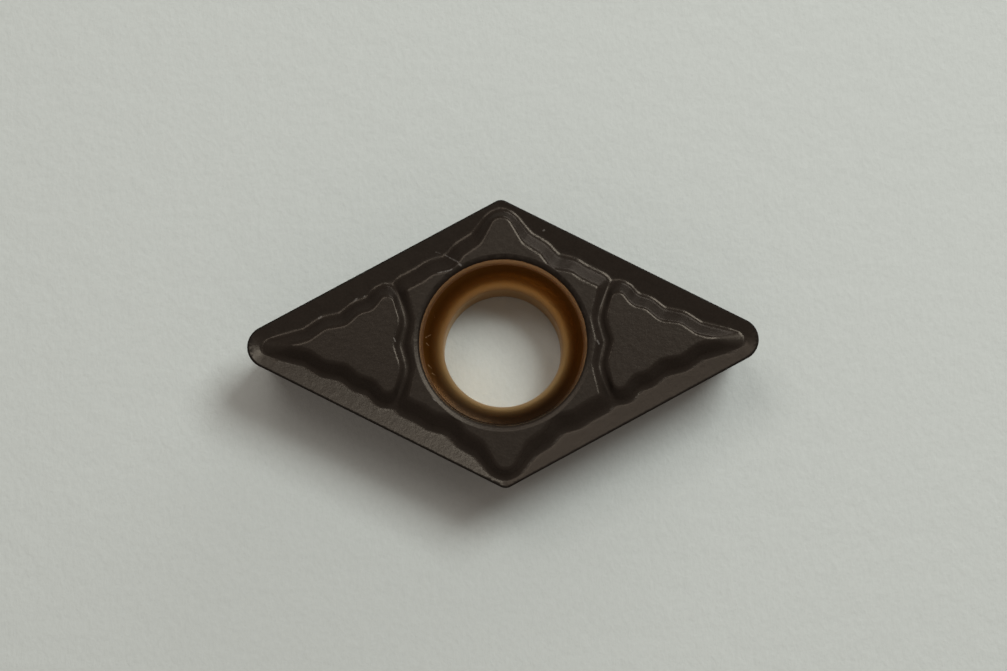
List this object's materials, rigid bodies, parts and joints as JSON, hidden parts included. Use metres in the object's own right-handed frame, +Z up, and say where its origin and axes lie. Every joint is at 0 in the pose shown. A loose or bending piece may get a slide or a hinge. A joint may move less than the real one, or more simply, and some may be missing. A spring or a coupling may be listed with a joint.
{
  "type": "carbide insert",
  "caption": "Rhombic turning insert with a countersunk screw hole, clearance flanks and a wavy chip breaker round the cutting edges.",
  "frame": {"origin": "middle of the flat bottom face, on the axis of the screw hole", "axes": "+X towards a sharp cutting nose, +Y towards a blunt corner, +Z up through the screw hole to the rake side"},
  "size_m": [0.0188, 0.0106, 0.0042],
  "materials": {
    "coated_carbide": "satin black-brown coating on sintered carbide, bronze inside the screw hole"
  },
  "bodies": {
    "root": {"insert": "coated_carbide"}
  },
  "joints": []
}
